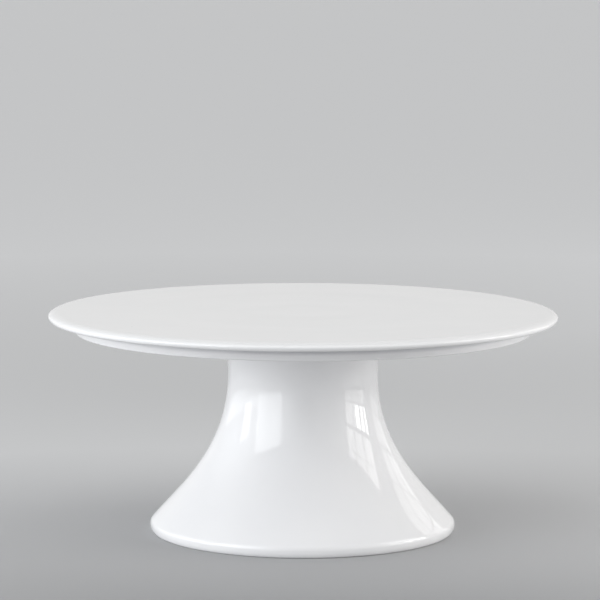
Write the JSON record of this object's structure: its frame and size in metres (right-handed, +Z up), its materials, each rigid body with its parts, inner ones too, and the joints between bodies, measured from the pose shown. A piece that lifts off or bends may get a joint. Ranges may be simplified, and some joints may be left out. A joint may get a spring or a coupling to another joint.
{
  "type": "cake stand",
  "caption": "Footed cake stand: a round flat plate with a foot ring, clamped on a hollow flared pedestal by a hand screw under its deck.",
  "frame": {"origin": "on the axis of the stand, in the plane that its foot rests on", "axes": "+Z up along the axis of the plate and the pedestal; the stand is round, so X and Y are any two horizontal directions"},
  "size_m": [0.3, 0.3, 0.131],
  "materials": {
    "plate_glaze": "glossy white glaze on porcelain",
    "pedestal_glaze": "glossy white glaze on porcelain, bare on the contact ring",
    "insert_brass": "turned",
    "epoxy": "cast, matt",
    "silicone": "translucent white silicone, matt",
    "black_rubber": "matt",
    "washer_steel": "stamped and tumbled",
    "screw_steel": "rolled thread, bright",
    "knob_plastic": "moulded nylon, fine grain"
  },
  "bodies": {
    "pedestal": {"pedestal": "pedestal_glaze", "seat_gasket": "silicone"},
    "plate": {"plate": "plate_glaze", "threaded_insert": "insert_brass", "insert_cement": "epoxy"},
    "washers": {"cushion_washer": "black_rubber", "clamp_washer": "washer_steel"},
    "thumb_screw": {"clamp_screw": "screw_steel", "screw_knob": "knob_plastic"}
  },
  "joints": [
    {"name": "plate_lift", "type": "slide", "parent": "pedestal", "child": "plate", "axis": [0, 0, 1], "range_m": [0, 0.1]},
    {"name": "screw_travel", "type": "slide", "parent": "pedestal", "child": "washers", "axis": [0, 0, 1], "range_m": [-0.01, 0]},
    {"name": "screw_turn", "type": "hinge", "parent": "washers", "child": "thumb_screw", "pos_m": [0, 0, 0.1145], "axis": [0, 0, 1], "range_deg": [-2880, 0]}
  ],
  "couplings": [
    {"joint": "screw_travel", "follows": "screw_turn", "m_per_rad": 0.00019894}
  ]
}
